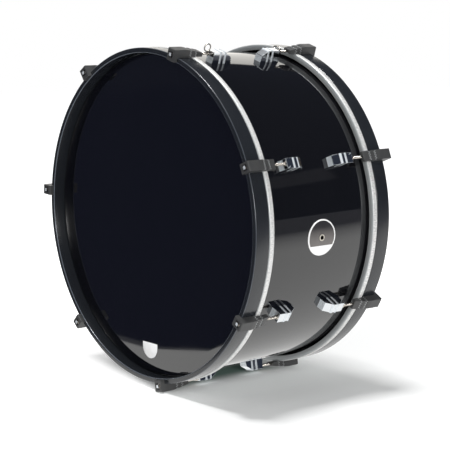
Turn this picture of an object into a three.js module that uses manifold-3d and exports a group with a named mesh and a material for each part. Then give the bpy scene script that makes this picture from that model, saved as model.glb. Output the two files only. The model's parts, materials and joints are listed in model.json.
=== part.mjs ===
// A marching bass drum, 26 by 12 inches, standing on its hoops.
// Millimetres, +Z up, origin at the drum's centre, drum axis along Y, front head towards -Y.

import * as THREE from "three";
import { mergeVertices } from "three/addons/utils/BufferGeometryUtils.js";
import Module from "manifold-3d";

const wasm = await Module();
wasm.setup();

// Shell: a tube with a bearing edge at each end
const shellRadius = 330;
const shellWall = 8;
const shellDepth = 305;
const bearingLand = 1;
const bearingOuterRound = 1.8;
const bearingInnerBevel = 5;

// Stations: lugs, claws and rods stand at seven places round each end
const stationCount = 7;
const firstStationDegrees = 21.66;
const facetsPerStation = 8;

// Head: a film over the bearing edge, held in a metal flesh hoop
const filmThickness = 0.5;
const filmCollarGap = 2.1;
const filmCollarRound = 1.6;
const filmFlange = 3.6;
const fleshHoopCollarGap = 1.4;
const fleshHoopThickness = 12;
const fleshHoopWidth = 13;
const fleshHoopCrown = 3;
const fleshHoopGroovePlace = 1.5;
const fleshHoopGrooveDepth = 3.4;
const fleshHoopGrooveWidth = 2.6;

// Counter hoop: the wide black hoop that the claws pull on
const hoopInset = 0.5;
const hoopThickness = 10.5;
const hoopWidth = 34;
const hoopOverhang = 26.65;
const hoopEdgeRound = 1.6;

// Claw: a cast hook over the hoop with an arm that carries the rod
const clawWidth = 20.5;
const clawLength = 72;
const clawLipThickness = 10.2;
const clawLipReach = 9.65;
const clawAboveRod = 12;
const clawFlatLength = 30;
const clawSlopeLength = 24;
const clawSlopeDrop = 3.5;
const clawEndAboveRod = 5.3;
const clawChannelClearance = 0.7;
const clawRecessClearance = 0.5;
const clawRecessDepth = 5;
const clawBandWidth = 6;
const clawBandDepth = 0.6;
const clawBandPlaces = [42, 55.5];

// Tension rod with its captive washer and square key head
const rodRadius = 2.4;
const rodThreadRadius = 2.8;
const rodThreadLength = 48;
const rodAxisAboveHoops = 3;
const rodEngagement = 24;
const rodTipChamfer = 0.8;
const washerRadius = 5.7;
const washerThickness = 1.2;
const rodCollarRadius = 4.6;
const rodCollarThickness = 1.8;
const rodKeyWidth = 6.3;
const rodKeyLength = 3.8;
const rodSides = 8;

// Lug: a square cast block whose crest falls to its inner end, with a low stair at the foot of
// each end and two bands over its body
const lugFromClaw = 28.45;
const lugLength = 50;
const lugAboveRod = 4.8;
const lugHalfWidthBase = 10.2;
const lugHalfWidthTop = 9.8;
const lugStairClearance = 0.7;
const lugStepCount = 3;
const lugStepRun = 0.8;
const lugCrestShare = 0.34;
const lugRodEndChamfer = 0.8;
const lugBandWidth = 3;
const lugBandProud = 0.8;
const lugBandPlaces = [18.5, 30.5];
const lugBossRadius = 4.6;
const lugBossLength = 1.2;
const lugBoreClearance = 0.5;
const lugBoreSpare = 4;

// Carrying eye: a wire ring on a collar that turns on a tension rod
const eyeStation = 1;
const eyeRingRadius = 7.7;
const eyeWireRadius = 1.3;
const eyeCollarRadius = 4.8;
const eyeCollarLength = 6.5;
const eyeRingClearance = 0.75;
const eyeBoreClearance = 0.3;
const eyeRearLeanDegrees = 75;
const eyeWireSides = 6;
const eyeRingSides = 18;

// Badge and air vent on the right of the shell
const badgeDegrees = -3.84;
const badgeAlong = 4.9;
const badgeRadius = 36.6;
const badgeThickness = 1.2;
const ventFlangeRadius = 6.8;
const ventFlangeThickness = 0.9;
const ventHoleRadius = 4.2;
const ventBarrelRadius = 5.4;
const ventHoleClearance = 0.5;
const ventSides = 16;
const badgeSides = 36;

// Label near the bottom of the front head
const labelWidth = 49;
const labelHeight = 33;
const labelThickness = 0.5;
const labelAcross = -20.5;
const labelInset = 25.7;
const labelStraight = 8.5;
const labelSides = 12;

// Gap kept between pieces that touch, the overrun of every cut, and what counts as one point
const gap = 0.3;
const overrun = 1;
const weldDistance = 0.0001;

// Angles and facet sizes that follow from the stations
const fullTurn = 2 * Math.PI;
const stationStep = fullTurn / stationCount;
const firstStation = THREE.MathUtils.degToRad(firstStationDegrees);
const ringSegments = stationCount * facetsPerStation;
const halfFacet = fullTurn / ringSegments / 2;
const facetShare = Math.cos(halfFacet);

// Places along the axis, counted outwards from the drum's centre
const shellEnd = shellDepth / 2;
const filmInner = shellEnd + gap;
const filmFace = filmInner + filmThickness;
const hoopFront = filmFace + hoopOverhang;
const hoopBack = hoopFront - hoopWidth;
const fleshHoopFront = hoopBack - gap;
const fleshHoopBack = fleshHoopFront - fleshHoopWidth;
const fleshHoopGroove = fleshHoopFront - fleshHoopGroovePlace;
const filmCollarEnd = fleshHoopGroove - gap / 2 - filmThickness;
const clawLipBack = hoopFront + gap;
const clawFront = clawLipBack + clawLipThickness;
const clawEnd = clawFront - clawLength;
const washerSeat = clawFront - clawRecessDepth + gap;
const lugOuterEnd = clawEnd - lugFromClaw;
const lugInnerEnd = lugOuterEnd - lugLength;
const lugOuterFace = lugOuterEnd - lugStepCount * lugStepRun;
const lugCrestInner = lugInnerEnd + lugStepCount * lugStepRun;
const lugCrestRun = lugLength * lugCrestShare;
const rodTip = lugOuterEnd - rodEngagement;

// Radii that seat one piece on another
const filmCollar = shellRadius + filmCollarGap;
const fleshHoopInnerRadius = filmCollar + filmThickness + fleshHoopCollarGap;
const fleshHoopOuterRadius = fleshHoopInnerRadius + fleshHoopThickness;
const hoopInnerRadius = fleshHoopInnerRadius + hoopInset;
const hoopOuterRadius = hoopInnerRadius + hoopThickness;
const rodAxis = Math.max(hoopOuterRadius, fleshHoopOuterRadius) + rodAxisAboveHoops;
const clawUnder = hoopOuterRadius * facetShare + gap;
const clawUnderFlesh = Math.max(clawUnder, fleshHoopOuterRadius * facetShare + gap);
const clawTop = rodAxis + clawAboveRod;
const clawEndTop = rodAxis + clawEndAboveRod;
const clawChannelHalf = rodThreadRadius + clawChannelClearance;
const clawRecessHalf = washerRadius + clawRecessClearance;
const lugBase = shellRadius * facetShare + gap;
const lugTop = rodAxis + lugAboveRod;
const lugStairTop = rodAxis - Math.max(lugBossRadius, eyeCollarRadius) - lugStairClearance;
const eyeBoreRadius = rodThreadRadius + eyeBoreClearance;
const eyeRingOffset = eyeBoreRadius + eyeWireRadius + eyeRingRadius;

// Finishes
const finishes = {
  shellLacquer: { color: 0x16181c, roughness: 0.08, metalness: 0 },
  film: { color: 0x14151d, roughness: 0.12, metalness: 0 },
  hoopBlack: { color: 0x2a2d32, roughness: 0.45, metalness: 0 },
  aluminium: { color: 0xd9dbdc, roughness: 0.3, metalness: 1 },
  clawBlack: { color: 0x33363a, roughness: 0.5, metalness: 0.2 },
  chrome: { color: 0xdfe3e6, roughness: 0.08, metalness: 1 },
  nickel: { color: 0xc9c1b4, roughness: 0.25, metalness: 1 },
  badgePlate: { color: 0xb7b8ba, roughness: 0.2, metalness: 0.8 },
  labelWhite: { color: 0xf2f2f0, roughness: 0.4, metalness: 0 },
};

// A closed geometry with position only and shared vertices
function welded(geometry) {
  const plain = geometry.clone();
  plain.deleteAttribute("normal");
  plain.deleteAttribute("uv");
  return mergeVertices(plain, weldDistance);
}

// The welded geometry as a solid for cutting and joining
function solid(geometry) {
  const closed = welded(geometry);
  const corners = closed.index.array;
  const kept = [];
  for (let i = 0; i < corners.length; i += 3) {
    const [a, b, c] = [corners[i], corners[i + 1], corners[i + 2]];
    if (a !== b && b !== c && c !== a) kept.push(a, b, c);
  }
  return new wasm.Manifold(new wasm.Mesh({
    numProp: 3,
    vertProperties: new Float32Array(closed.attributes.position.array),
    triVerts: new Uint32Array(kept),
  }));
}

// A solid back as a geometry
function geometryOf(cutSolid) {
  const mesh = cutSolid.getMesh();
  const geometry = new THREE.BufferGeometry();
  geometry.setAttribute("position", new THREE.Float32BufferAttribute(mesh.vertProperties, 3));
  geometry.setIndex(Array.from(mesh.triVerts));
  geometry.computeVertexNormals();
  return geometry;
}

// A ring or disc turned about Y from points of radius and height, counter-clockwise
function turned(profile, segments = ringSegments, phase = Math.PI / 2 - firstStation + halfFacet) {
  const points = profile.map(([radius, along]) => new THREE.Vector2(radius, along));
  return new THREE.LatheGeometry(points, segments, phase);
}

// The same profile for the front end, mirrored and kept counter-clockwise
function mirrored(profile) {
  return profile.map(([radius, along]) => [radius, -along]).reverse();
}

// A profile in the plane of Y and Z, extruded across X and centred on it
function acrossX(outline, width) {
  const shape = new THREE.Shape(outline.map(([along, height]) => new THREE.Vector2(along, height)));
  const geometry = new THREE.ExtrudeGeometry(shape, { depth: width, bevelEnabled: false });
  geometry.translate(0, 0, -width / 2);
  const basis = new THREE.Matrix4().makeBasis(
    new THREE.Vector3(0, 1, 0), new THREE.Vector3(0, 0, 1), new THREE.Vector3(1, 0, 0));
  return geometry.applyMatrix4(basis);
}

// A profile in the plane of X and Z, extruded along Y from start to end
function alongY(outline, start, end) {
  const shape = new THREE.Shape(outline.map(([across, height]) => new THREE.Vector2(across, height)));
  const geometry = new THREE.ExtrudeGeometry(shape, { depth: end - start, bevelEnabled: false });
  geometry.rotateX(Math.PI / 2);
  return geometry.translate(0, end, 0);
}

// A box between two corners
function boxBetween(low, high) {
  const geometry = new THREE.BoxGeometry(high[0] - low[0], high[1] - low[1], high[2] - low[2]);
  return geometry.translate((low[0] + high[0]) / 2, (low[1] + high[1]) / 2, (low[2] + high[2]) / 2);
}

// A round bar along Y on the rod's axis
function barOnRodAxis(radius, start, end, sides = rodSides) {
  const geometry = new THREE.CylinderGeometry(radius, radius, end - start, sides);
  return geometry.translate(0, (start + end) / 2, rodAxis);
}

const drum = new THREE.Group();

// A named mesh with its own material
function piece(name, geometry, finish) {
  const mesh = new THREE.Mesh(geometry, new THREE.MeshStandardMaterial(finishes[finish]));
  mesh.name = name;
  return mesh;
}

// Turns a piece made at the top of the rear end to its station on either end
function toStation(mesh, station, end) {
  const angle = firstStation + station * stationStep;
  const outward = new THREE.Vector3(Math.cos(angle), 0, Math.sin(angle));
  const along = new THREE.Vector3(0, end, 0);
  const across = new THREE.Vector3().crossVectors(along, outward);
  mesh.quaternion.setFromRotationMatrix(new THREE.Matrix4().makeBasis(across, along, outward));
  return mesh;
}

// Moves a geometry made on +X to the badge's place on the shell
function atBadge(geometry) {
  return geometry.rotateY(-THREE.MathUtils.degToRad(badgeDegrees)).translate(0, badgeAlong, 0);
}

// A round bar that passes through the shell's wall at the badge
function throughShell(radius, sides) {
  const reach = shellWall + badgeThickness + ventFlangeThickness + overrun;
  const bar = new THREE.CylinderGeometry(radius, radius, 2 * reach, sides);
  return atBadge(bar.rotateZ(Math.PI / 2).translate(shellRadius, 0, 0));
}

// Shell with its vent hole
function shellGeometry() {
  const landOuter = shellRadius - bearingOuterRound;
  const half = [
    [shellRadius, shellEnd - bearingOuterRound],
    [landOuter, shellEnd],
    [landOuter - bearingLand, shellEnd],
    [shellRadius - shellWall, shellEnd - bearingInnerBevel],
  ];
  const tube = solid(turned([...half, ...mirrored(half), half[0]]));
  return geometryOf(tube.subtract(solid(throughShell(ventBarrelRadius + ventHoleClearance, ventSides))));
}

// Film: a flat disc, a rolled collar outside the shell and a flange in the flesh hoop
function filmProfile() {
  const roundStart = filmCollar - filmCollarRound;
  const flangeEnd = filmCollarEnd - filmCollarRound;
  return [
    [0, filmInner],
    [roundStart, filmInner],
    [filmCollar, filmInner - filmCollarRound],
    [filmCollar, filmCollarEnd],
    [filmCollar + filmFlange, flangeEnd],
    [filmCollar + filmFlange, flangeEnd + filmThickness],
    [filmCollar + filmThickness, filmCollarEnd + filmThickness],
    [filmCollar + filmThickness, filmFace - filmCollarRound],
    [roundStart + filmThickness, filmFace],
    [0, filmFace],
  ];
}

// Flesh hoop: a crowned metal rim, grooved inside where the film's flange goes
function fleshHoopProfile() {
  const inner = fleshHoopInnerRadius;
  const grooveEnd = inner + fleshHoopGrooveDepth;
  const crown = fleshHoopCrown;
  return [
    [inner, fleshHoopBack],
    [fleshHoopOuterRadius - crown, fleshHoopBack],
    [fleshHoopOuterRadius, fleshHoopBack + crown],
    [fleshHoopOuterRadius, fleshHoopFront - crown],
    [fleshHoopOuterRadius - crown, fleshHoopFront],
    [inner, fleshHoopFront],
    [inner, fleshHoopGroove],
    [grooveEnd, fleshHoopGroove],
    [grooveEnd, fleshHoopGroove - fleshHoopGrooveWidth],
    [inner, fleshHoopGroove - fleshHoopGrooveWidth],
    [inner, fleshHoopBack],
  ];
}

// Counter hoop: a flat bent hoop with rounded edges
function hoopProfile() {
  const inner = hoopInnerRadius;
  const round = hoopEdgeRound;
  return [
    [inner, hoopBack],
    [hoopOuterRadius - round, hoopBack],
    [hoopOuterRadius, hoopBack + round],
    [hoopOuterRadius, hoopFront - round],
    [hoopOuterRadius - round, hoopFront],
    [inner + round, hoopFront],
    [inner, hoopFront - round],
    [inner, hoopBack],
  ];
}

// Height of the claw's outer face at a place along it
const clawKnee = clawFront - clawFlatLength;
const clawSlopeEnd = clawKnee - clawSlopeLength;

function clawTopAt(along) {
  if (along >= clawKnee) return clawTop;
  if (along >= clawSlopeEnd) {
    return clawTop - (clawSlopeDrop * (clawKnee - along)) / clawSlopeLength;
  }
  const run = (clawSlopeEnd - along) / (clawSlopeEnd - clawEnd);
  return THREE.MathUtils.lerp(clawTop - clawSlopeDrop, clawEndTop, run);
}

// Claw: hook and arm, cut by the rod's channel, the head's recess and two bands
function clawGeometry() {
  const lipInner = hoopOuterRadius - clawLipReach;
  const outline = [
    [clawFront, lipInner],
    [clawFront, clawTop],
    [clawKnee, clawTop],
    [clawSlopeEnd, clawTop - clawSlopeDrop],
    [clawEnd, clawEndTop],
    [clawEnd, clawUnderFlesh],
    [hoopBack, clawUnderFlesh],
    [hoopBack, clawUnder],
    [clawLipBack, clawUnder],
    [clawLipBack, lipInner],
  ];
  let claw = solid(acrossX(outline, clawWidth));
  const half = clawChannelHalf;
  claw = claw.subtract(solid(boxBetween(
    [-half, clawEnd - overrun, clawUnder - overrun],
    [half, clawLipBack, rodAxis + half])));
  claw = claw.subtract(solid(barOnRodAxis(half, clawLipBack - overrun, clawFront + overrun)));
  const recess = clawRecessHalf;
  claw = claw.subtract(solid(boxBetween(
    [-recess, clawFront - clawRecessDepth, rodAxis - recess],
    [recess, clawFront + overrun, rodAxis + recess])));
  for (const place of clawBandPlaces) {
    const start = clawFront - place - clawBandWidth / 2;
    const end = start + clawBandWidth;
    const groove = [
      [start, clawTopAt(start) - clawBandDepth],
      [end, clawTopAt(end) - clawBandDepth],
      [end, clawTop + overrun],
      [start, clawTop + overrun],
    ];
    claw = claw.subtract(solid(acrossX(groove, clawWidth + 2 * overrun)));
    for (const side of [-1, 1]) {
      const flank = (side * clawWidth) / 2;
      const cut = [flank - clawBandDepth, flank + clawBandDepth];
      claw = claw.subtract(solid(boxBetween(
        [cut[0], start, clawUnder - overrun], [cut[1], end, clawTop + overrun])));
    }
  }
  return geometryOf(claw);
}

// Tension rod: thread, shank, washer and collar turned in one, with a square key
function rodGeometry() {
  const washerTop = washerSeat + washerThickness;
  const collarTop = washerTop + rodCollarThickness;
  const threadEnd = rodTip + rodThreadLength;
  const turnedPart = turned([
    [0, rodTip],
    [rodThreadRadius - rodTipChamfer, rodTip],
    [rodThreadRadius, rodTip + rodTipChamfer],
    [rodThreadRadius, threadEnd],
    [rodRadius, threadEnd + rodTipChamfer],
    [rodRadius, washerSeat],
    [washerRadius, washerSeat],
    [washerRadius, washerTop],
    [rodCollarRadius, washerTop],
    [rodCollarRadius, collarTop],
    [0, collarTop],
  ], rodSides, 0);
  const key = boxBetween(
    [-rodKeyWidth / 2, washerTop, -rodKeyWidth / 2],
    [rodKeyWidth / 2, collarTop + rodKeyLength, rodKeyWidth / 2]);
  return geometryOf(solid(turnedPart).add(solid(key)).translate([0, 0, rodAxis]));
}

// Half of the lug's cross-section, from its base to its outer face, grown by a margin
function lugSection(margin) {
  const side = [
    [lugHalfWidthBase + margin, lugBase],
    [lugHalfWidthTop + margin, lugTop + margin],
  ];
  return [...side, ...side.map(([across, height]) => [-across, height]).reverse()];
}

// Stair of one end: out along the base and up, in steps
function lugStair(end, inwards, top) {
  const rise = (top - lugBase) / lugStepCount;
  const points = [];
  for (let step = 0; step < lugStepCount; step += 1) {
    const along = end + inwards * step * lugStepRun;
    points.push([along, lugBase + step * rise], [along, lugBase + (step + 1) * rise]);
  }
  return points;
}

// Lug with its crest and sides grown by a margin: side profile and cross-section meet
function lugBody(margin) {
  const outline = [
    ...lugStair(lugOuterEnd, -1, lugStairTop),
    [lugOuterFace, lugStairTop],
    [lugOuterFace, lugTop + margin - lugRodEndChamfer],
    [lugOuterFace - lugRodEndChamfer, lugTop + margin],
    [lugCrestInner + lugCrestRun, lugTop + margin],
    [lugCrestInner, lugStairTop + margin],
    ...lugStair(lugInnerEnd, 1, lugStairTop).reverse(),
  ];
  const profile = acrossX(outline, 2 * (lugHalfWidthBase + margin + overrun));
  const section = alongY(lugSection(margin), lugInnerEnd - overrun, lugOuterEnd + overrun);
  return solid(profile).intersect(solid(section));
}

// Lug: its body, then the bands, the boss and the bore
function lugGeometry() {
  let lug = lugBody(0);
  for (const place of lugBandPlaces) {
    const start = lugOuterEnd - place - lugBandWidth;
    const band = boxBetween(
      [-lugHalfWidthBase - overrun - lugBandProud, start, lugBase],
      [lugHalfWidthBase + overrun + lugBandProud, start + lugBandWidth, lugTop + overrun + lugBandProud]);
    lug = lug.add(lugBody(lugBandProud).intersect(solid(band)));
  }
  const bossEnd = lugOuterEnd + lugBossLength;
  lug = lug.add(solid(barOnRodAxis(lugBossRadius, lugOuterFace - overrun, bossEnd)));
  const boreRadius = rodThreadRadius + lugBoreClearance;
  lug = lug.subtract(solid(barOnRodAxis(boreRadius, rodTip - lugBoreSpare, bossEnd + overrun)));
  return geometryOf(lug);
}

// Carrying eye: a wire ring in the plane of the rod, on a collar round the rod
function eyeGeometry(lean) {
  const collarStart = lugOuterEnd + lugBossLength + gap;
  const ringMiddle = lugOuterEnd + eyeRingClearance + eyeWireRadius + eyeRingRadius;
  const ring = new THREE.TorusGeometry(eyeRingRadius, eyeWireRadius, eyeWireSides, eyeRingSides);
  ring.rotateY(Math.PI / 2).translate(0, ringMiddle, eyeRingOffset);
  const collar = new THREE.CylinderGeometry(eyeCollarRadius, eyeCollarRadius, eyeCollarLength, rodSides);
  const bore = new THREE.CylinderGeometry(
    eyeBoreRadius, eyeBoreRadius, eyeCollarLength + 2 * overrun, rodSides);
  const middle = collarStart + eyeCollarLength / 2;
  const eye = solid(ring).add(solid(collar.translate(0, middle, 0)));
  const bored = eye.subtract(solid(bore.translate(0, middle, 0)));
  const geometry = geometryOf(bored);
  return geometry.rotateY(lean).translate(0, 0, rodAxis);
}

// Badge: a round plate bent to the shell's facets, bored for the vent
function badgeGeometry() {
  const inner = shellRadius + gap;
  const rim = badgeRadius + overrun;
  const band = turned([
    [inner, badgeAlong - rim],
    [inner + badgeThickness, badgeAlong - rim],
    [inner + badgeThickness, badgeAlong + rim],
    [inner, badgeAlong + rim],
    [inner, badgeAlong - rim],
  ]);
  const cutter = throughShell(badgeRadius, badgeSides);
  const hole = throughShell(ventBarrelRadius + ventHoleClearance, ventSides);
  return geometryOf(solid(band).intersect(solid(cutter)).subtract(solid(hole)));
}

// Vent eyelet: a barrel through badge and shell, flanged outside and rolled over inside
function ventGeometry() {
  const outerSeat = shellRadius + gap + badgeThickness + gap;
  const innerSeat = (shellRadius - shellWall) * facetShare - gap;
  const barrel = turned([
    [ventHoleRadius, innerSeat - ventFlangeThickness],
    [ventFlangeRadius, innerSeat - ventFlangeThickness],
    [ventFlangeRadius, innerSeat],
    [ventBarrelRadius, innerSeat],
    [ventBarrelRadius, outerSeat],
    [ventFlangeRadius, outerSeat],
    [ventFlangeRadius - ventFlangeThickness / 2, outerSeat + ventFlangeThickness],
    [ventHoleRadius, outerSeat + ventFlangeThickness],
    [ventHoleRadius, innerSeat - ventFlangeThickness],
  ], ventSides, 0);
  return atBadge(barrel.rotateZ(-Math.PI / 2));
}

// Label: a plain half-round shield stuck on the front film
function labelGeometry() {
  const half = labelWidth / 2;
  const shape = new THREE.Shape();
  shape.moveTo(half, 0);
  shape.lineTo(-half, 0);
  shape.lineTo(-half, -labelStraight);
  shape.absellipse(0, -labelStraight, half, labelHeight - labelStraight, Math.PI, fullTurn, false, 0);
  shape.closePath();
  const geometry = new THREE.ExtrudeGeometry(shape, {
    depth: labelThickness, bevelEnabled: false, curveSegments: labelSides });
  geometry.rotateX(Math.PI / 2);
  return geometry.translate(labelAcross, -filmFace - gap, labelInset + labelHeight - shellRadius);
}

// Shell and its badge
drum.add(piece("shell", shellGeometry(), "shellLacquer"));
drum.add(piece("badge", badgeGeometry(), "badgePlate"));
drum.add(piece("vent_eyelet", ventGeometry(), "nickel"));
drum.add(piece("head_label", labelGeometry(), "labelWhite"));

// One end of the drum after the other
const clawShape = clawGeometry();
const rodShape = rodGeometry();
const lugShape = lugGeometry();

for (const [endName, end] of [["front", -1], ["rear", 1]]) {
  const facing = end > 0 ? (profile) => profile : mirrored;
  drum.add(piece(`${endName}_head_film`, turned(facing(filmProfile())), "film"));
  drum.add(piece(`${endName}_flesh_hoop`, turned(facing(fleshHoopProfile())), "aluminium"));
  drum.add(piece(`${endName}_hoop`, turned(facing(hoopProfile())), "hoopBlack"));
  for (let station = 0; station < stationCount; station += 1) {
    const number = station + 1;
    const set = [
      [`${endName}_lug_${number}`, lugShape, "chrome"],
      [`${endName}_claw_${number}`, clawShape, "clawBlack"],
      [`${endName}_tension_rod_${number}`, rodShape, "nickel"],
    ];
    for (const [name, shape, finish] of set) drum.add(toStation(piece(name, shape, finish), station, end));
  }
}

// Front eye stands up, rear eye has fallen to the far side of its rod
const lean = THREE.MathUtils.degToRad(eyeRearLeanDegrees);
drum.add(toStation(piece("front_carrying_eye", eyeGeometry(0), "nickel"), eyeStation, -1));
drum.add(toStation(piece("rear_carrying_eye", eyeGeometry(-lean), "nickel"), eyeStation, 1));

export default drum;
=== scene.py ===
import json
import math

import bmesh
import bpy
from mathutils import Matrix, Vector

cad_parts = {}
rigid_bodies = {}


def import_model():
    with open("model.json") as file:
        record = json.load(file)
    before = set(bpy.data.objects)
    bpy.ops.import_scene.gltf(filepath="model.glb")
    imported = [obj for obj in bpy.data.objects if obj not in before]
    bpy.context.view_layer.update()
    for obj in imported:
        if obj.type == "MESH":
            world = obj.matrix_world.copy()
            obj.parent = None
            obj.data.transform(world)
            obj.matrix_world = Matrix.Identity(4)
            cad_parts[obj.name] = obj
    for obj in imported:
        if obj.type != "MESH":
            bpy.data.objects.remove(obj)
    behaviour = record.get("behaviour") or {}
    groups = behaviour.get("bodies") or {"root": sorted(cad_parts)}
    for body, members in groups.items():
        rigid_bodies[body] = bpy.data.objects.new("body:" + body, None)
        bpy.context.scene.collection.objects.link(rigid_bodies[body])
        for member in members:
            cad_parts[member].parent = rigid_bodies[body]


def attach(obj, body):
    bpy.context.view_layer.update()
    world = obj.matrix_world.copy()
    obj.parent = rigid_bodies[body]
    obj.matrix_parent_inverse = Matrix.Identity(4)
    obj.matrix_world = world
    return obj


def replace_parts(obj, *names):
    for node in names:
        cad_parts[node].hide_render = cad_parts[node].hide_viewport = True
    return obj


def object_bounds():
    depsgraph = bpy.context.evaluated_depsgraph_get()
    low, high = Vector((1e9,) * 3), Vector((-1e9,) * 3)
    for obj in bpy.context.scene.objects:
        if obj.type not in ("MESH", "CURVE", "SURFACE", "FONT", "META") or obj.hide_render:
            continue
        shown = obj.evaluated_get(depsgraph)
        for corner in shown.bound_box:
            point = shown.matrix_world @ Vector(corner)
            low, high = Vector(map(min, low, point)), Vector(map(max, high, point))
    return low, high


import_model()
cad_low, cad_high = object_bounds()
for start_object in ("Cube", "Light", "Camera"):
    if start_object in bpy.data.objects:
        bpy.data.objects.remove(bpy.data.objects[start_object])

# The shell: a plywood tube in a high-gloss black wrap, with a bearing edge turned on each end.
# The wrap is glued round the tube and meets itself in one seam along the far side. Lengths in this
# file are millimetres on the real drum, and turned to metres as each mesh is made.
MILLIMETRE = 0.001
shell_radius = 330
shell_wall = 8
shell_depth = 305
bearing_round = 1.8
bearing_land = 1
bearing_bevel = 5
shell_end = shell_depth / 2
vent_bore = 5.9
seam_angle = math.radians(208)
seam_half = 0.4
seam_depth = 30
round_steps = 5
turned_segments = 256
one_point = 0.002


def shade(red, green, blue):
    """A colour from its display values, 0 to 255, as linear light."""
    def linear(value):
        value /= 255
        return value / 12.92 if value <= 0.04045 else ((value + 0.055) / 1.055) ** 2.4
    return linear(red), linear(green), linear(blue), 1


class Socket:
    """One output of a shader node. Python's operators on it add Math nodes."""

    def __init__(self, finish, socket):
        self.finish, self.socket = finish, socket

    def out(self, name):
        return Socket(self.finish, self.socket.node.outputs[name])

    def maths(self, operation, *others):
        inputs = dict(enumerate((self, *others)))
        return self.finish.node("ShaderNodeMath", {"operation": operation}, inputs)

    def after(self, operation, other):
        return self.finish.node("ShaderNodeMath", {"operation": operation}, {0: other, 1: self})

    def axes(self):
        split = self.finish.node("ShaderNodeSeparateXYZ", {}, {0: self}, "X")
        return split, split.out("Y"), split.out("Z")

    def between(self, low, high, ramp="SMOOTHSTEP"):
        """0 below the low value, 1 above the high one, and a ramp between them."""
        span = {"Value": self, "From Min": low, "From Max": high}
        return self.finish.node("ShaderNodeMapRange", {"interpolation_type": ramp}, span)

    def __add__(self, other): return self.maths("ADD", other)
    def __radd__(self, other): return self.after("ADD", other)
    def __sub__(self, other): return self.maths("SUBTRACT", other)
    def __rsub__(self, other): return self.after("SUBTRACT", other)
    def __mul__(self, other): return self.maths("MULTIPLY", other)
    def __rmul__(self, other): return self.after("MULTIPLY", other)
    def __truediv__(self, other): return self.maths("DIVIDE", other)
    def __pow__(self, other): return self.maths("POWER", other)
    def __lt__(self, other): return self.maths("LESS_THAN", other)
    def __gt__(self, other): return self.maths("GREATER_THAN", other)
    def __abs__(self): return self.maths("ABSOLUTE")


class Finish:
    """A material in the making: uniform values go on its shader, the rest comes from node()."""

    def __init__(self, name, **uniform):
        self.material = bpy.data.materials.new(name)
        self.material.use_nodes = True
        self.tree = self.material.node_tree
        self.shader = self.tree.nodes["Principled BSDF"]
        self.set(**uniform)

    def set(self, **values):
        for name, value in values.items():
            self.feed(self.shader.inputs[name.replace("_", " ")], value)

    def feed(self, socket, value):
        if isinstance(value, Socket):
            self.tree.links.new(value.socket, socket)
        else:
            socket.default_value = value

    def node(self, kind, settings=None, inputs=None, output=0):
        made = self.tree.nodes.new(kind)
        for name, value in (settings or {}).items():
            setattr(made, name, value)
        for name, value in (inputs or {}).items():
            self.feed(made.inputs[name], value)
        return Socket(self, made.outputs[output])

    def place(self):
        """Where a point lies on its own piece, in metres."""
        return self.node("ShaderNodeTexCoord", output="Object")

    def noise(self, vector, scale, detail=2):
        return self.node(
            "ShaderNodeTexNoise", {}, {"Vector": vector, "Scale": scale, "Detail": detail})

    def vector(self, x, y, z):
        return self.node("ShaderNodeCombineXYZ", {}, {"X": x, "Y": y, "Z": z})

    def mix(self, share, first, second):
        return self.node("ShaderNodeMix", {"data_type": "RGBA"}, {0: share, 6: first, 7: second}, 2)

    def mottle(self, pattern, dark, light, smoothest, spread):
        """A pattern turns the colour from dark to light and the surface a little rougher."""
        self.set(Base_Color=self.mix(pattern, dark, light), Roughness=smoothest + spread * pattern)

    def bump(self, height, depth):
        """Relief from a pattern, in millimetres for a height of 1."""
        relief = {"Height": height, "Distance": depth * MILLIMETRE}
        self.set(Normal=self.node("ShaderNodeBump", {}, relief, "Normal"))


def arc_corner(before, corner, after, radius):
    """The points that round one corner of an outline with an arc of this radius."""
    here = Vector(corner)
    back, onward = (Vector(before) - here).normalized(), (Vector(after) - here).normalized()
    half = back.angle(onward) / 2
    middle = here + (back + onward).normalized() * radius / math.sin(half)
    run = radius / math.tan(half)
    start, end = here + back * run - middle, here + onward * run - middle
    turn = start.angle_signed(end)
    first = math.atan2(start.y, start.x)
    angles = [first - turn * step / round_steps for step in range(round_steps + 1)]
    return [(middle.x + radius * math.cos(a), middle.y + radius * math.sin(a)) for a in angles]


def outline(*corners):
    """A closed outline through (x, y) corners, or (x, y, radius) where a corner is rounded."""
    points = []
    for i, corner in enumerate(corners):
        if len(corner) == 2:
            points.append(corner)
        else:
            after = corners[(i + 1) % len(corners)]
            points += arc_corner(corners[i - 1][:2], corner[:2], after[:2], corner[2])
    return points


def angles_round(count):
    """Angles evenly round one full turn."""
    return [math.tau * step / count for step in range(count)]


def grid_faces(rows, columns, closed_rows=True, closed_columns=True):
    """Four-sided faces between rows of points, going round where closed."""
    return [
        (row * columns + i, row * columns + (i + 1) % columns,
         (row + 1) % rows * columns + (i + 1) % columns, (row + 1) % rows * columns + i)
        for row in range(rows if closed_rows else rows - 1)
        for i in range(columns if closed_columns else columns - 1)
    ]


def mesh_from(name, points, faces, sharp=32):
    """A mesh from points in millimetres, smooth but for edges that turn by over sharp degrees."""
    mesh = bpy.data.meshes.new(name)
    mesh.from_pydata([Vector(point) * MILLIMETRE for point in points], [], faces)
    shape = bmesh.new()
    shape.from_mesh(mesh)
    bmesh.ops.remove_doubles(shape, verts=shape.verts, dist=one_point * MILLIMETRE)
    bmesh.ops.recalc_face_normals(shape, faces=shape.faces)
    shape.to_mesh(mesh)
    shape.free()
    return smoothed(mesh, sharp)


def smoothed(mesh, sharp=32):
    """The mesh shaded smooth, but for edges that turn by over sharp degrees."""
    mesh.shade_smooth()
    mesh.set_sharp_from_angle(angle=math.radians(sharp))
    return mesh


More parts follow.
